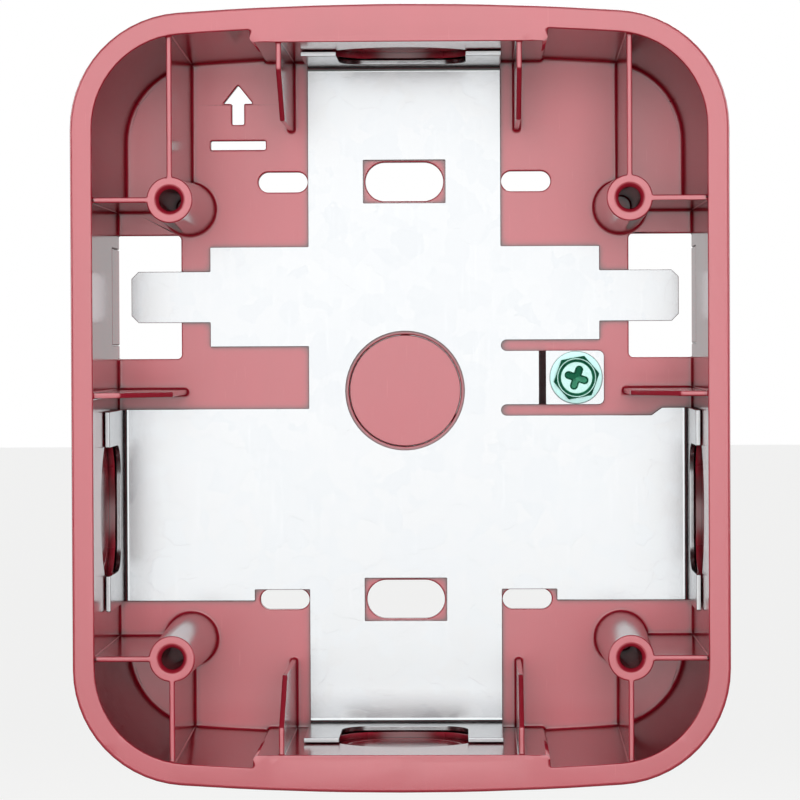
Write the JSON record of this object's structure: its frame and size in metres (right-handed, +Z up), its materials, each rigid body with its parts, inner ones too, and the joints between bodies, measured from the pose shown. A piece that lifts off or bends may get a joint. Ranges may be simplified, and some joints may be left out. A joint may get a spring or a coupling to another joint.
{
  "type": "surface mount back box",
  "caption": "Surface mount back box for a wall horn strobe: moulded skirt, sheet metal ground bracket, ground screw and knockouts",
  "frame": {"origin": "the middle of the wall face, between the crests of the bowed ends", "axes": "+Z up as mounted, +Y into the wall, the open front towards -Y, +X right as seen from the front"},
  "size_m": [0.1226, 0.0505, 0.1468],
  "materials": {
    "red_plastic": "moulded, satin to gloss",
    "galvanised_steel": "zinc coated sheet",
    "green_screw": "green dyed zinc",
    "zinc_washer": "clear blue zinc"
  },
  "bodies": {
    "box": {"back_box": "red_plastic", "ground_bracket": "galvanised_steel", "top_knockout_ring": "red_plastic", "top_knockout_disc": "red_plastic", "bottom_knockout_ring": "red_plastic", "bottom_knockout_disc": "red_plastic", "left_knockout_ring": "red_plastic", "left_knockout_disc": "red_plastic", "right_knockout_ring": "red_plastic", "right_knockout_disc": "red_plastic", "rear_knockout_disc": "red_plastic", "left_raceway_knockout": "red_plastic", "right_raceway_knockout": "red_plastic"},
    "clamp": {"ground_washer": "zinc_washer"},
    "screw": {"ground_screw": "green_screw"}
  },
  "joints": [
    {"name": "clamp_lift", "type": "slide", "parent": "box", "child": "clamp", "axis": [0, -1, 0], "range_m": [0, 0.00396]},
    {"name": "screw_turn", "type": "hinge", "parent": "clamp", "child": "screw", "pos_m": [0.034, -0.0063, 0.0034], "axis": [0, -1, 0], "range_deg": [0, 1800]}
  ],
  "couplings": [
    {"joint": "screw_turn", "follows": "clamp_lift", "rad_per_m": 7915.8}
  ]
}
